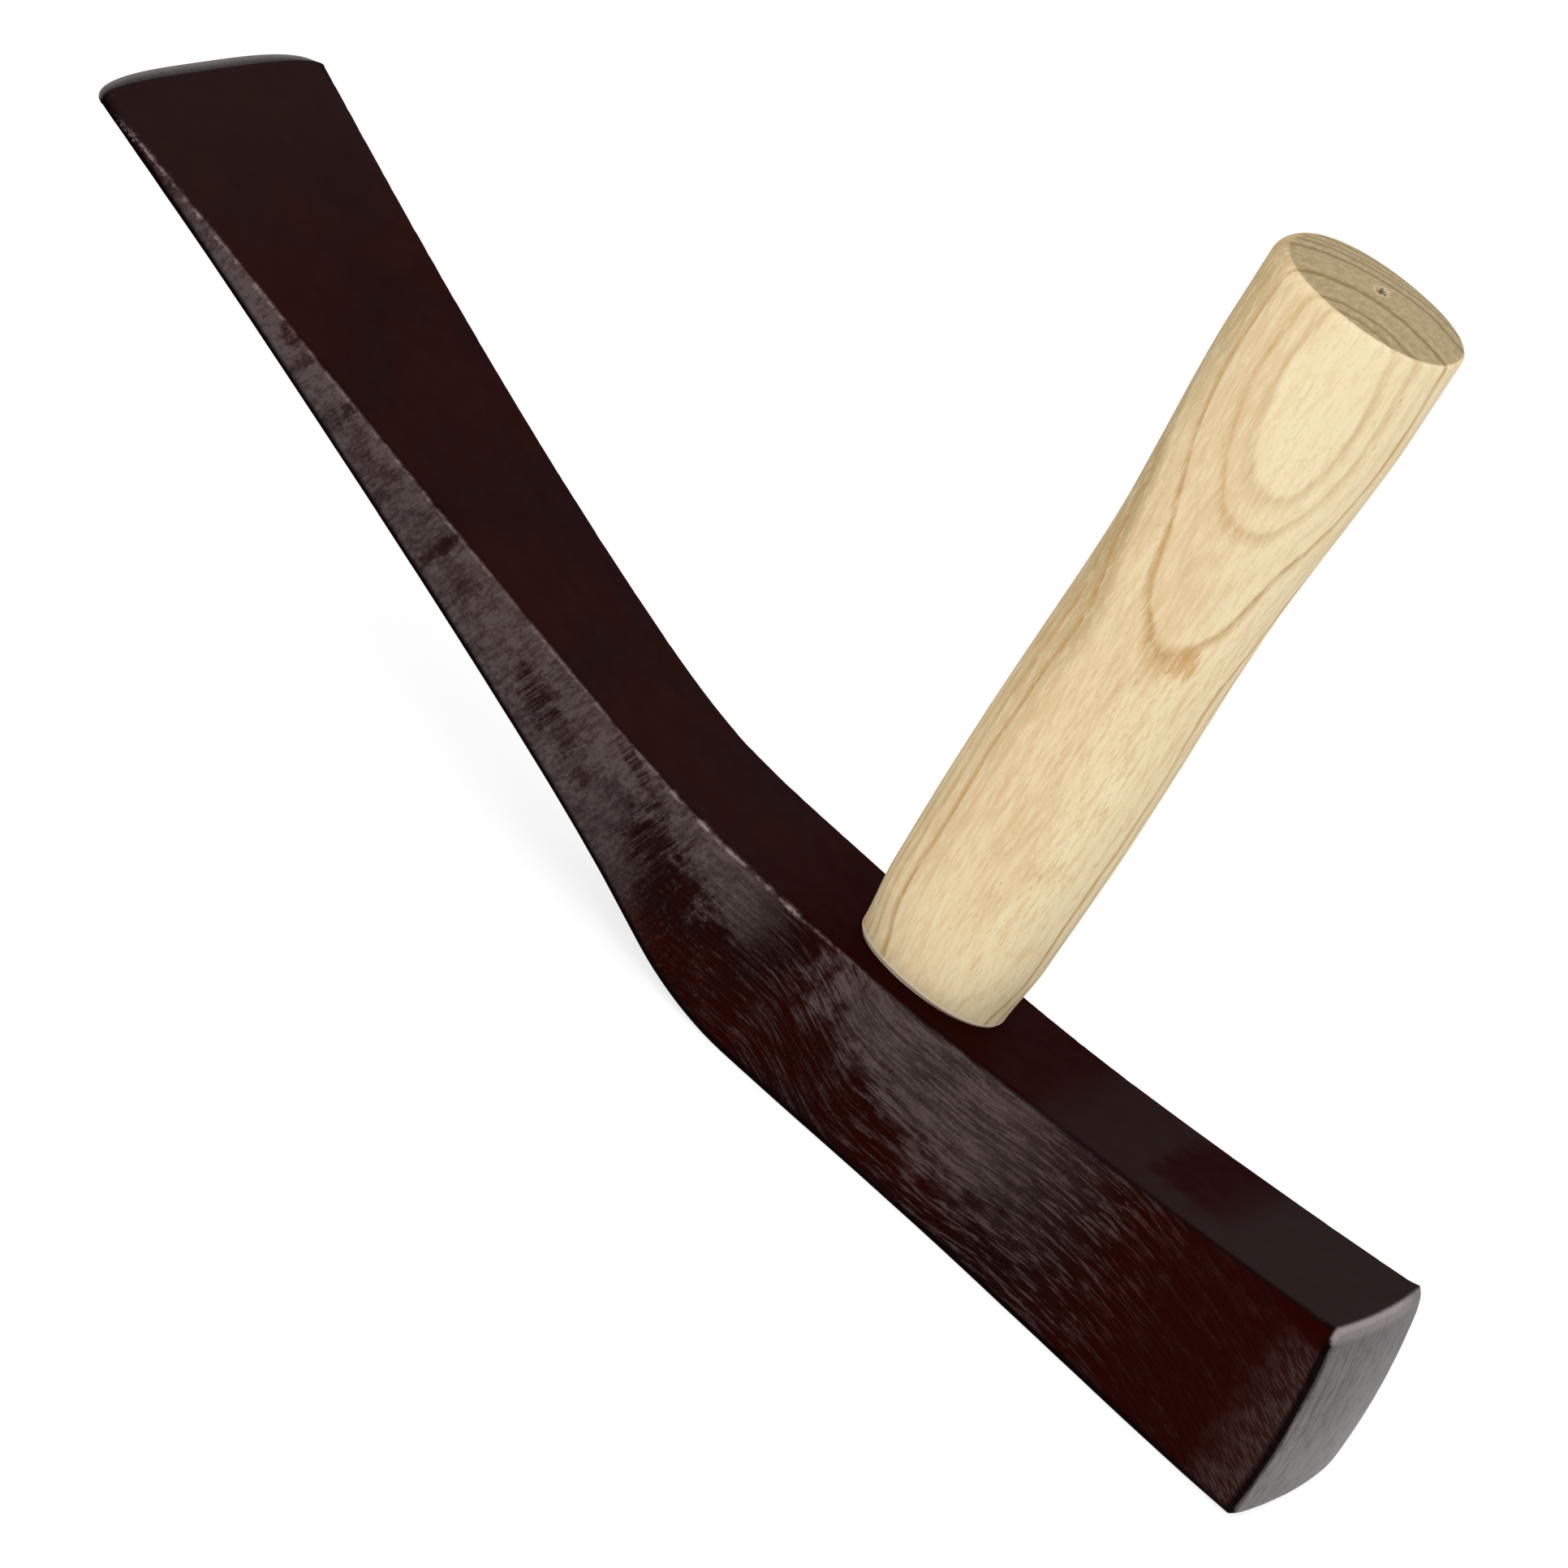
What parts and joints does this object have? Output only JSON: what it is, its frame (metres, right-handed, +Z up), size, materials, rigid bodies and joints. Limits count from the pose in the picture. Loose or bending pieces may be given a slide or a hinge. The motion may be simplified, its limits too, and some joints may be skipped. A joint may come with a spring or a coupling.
{
  "type": "paving hammer",
  "caption": "Short-handled paving hammer: forged steel head with a square crowned hammer face and a long upswept digging blade, oval ash handle wedged in its eye.",
  "frame": {"origin": "halfway along the head, in its middle plane, on the plane of the flat underside that runs from the bend to the striking face", "axes": "+X along the head towards the striking face, with the blade towards -X; +Z up along the handle, away from the underside; +Y across the head, along the cutting edge"},
  "size_m": [0.338, 0.0726, 0.1952],
  "materials": {
    "lacquered_steel": "thin dark brown clear lacquer over ground and scaled forging skin; striking face and cutting bevel ground bare",
    "ash": "smooth turned and sanded ash, thin oil, long grain with cathedral figure on its broad side",
    "wedge_wood": "split beech, end grain sawn flush with the tenon",
    "wedge_steel": "bright cropped steel, barbed flanks"
  },
  "bodies": {
    "root": {"head": "lacquered_steel", "handle": "ash", "wood_wedge": "wedge_wood", "steel_wedge_blade_side": "wedge_steel", "steel_wedge_face_side": "wedge_steel"}
  },
  "joints": []
}
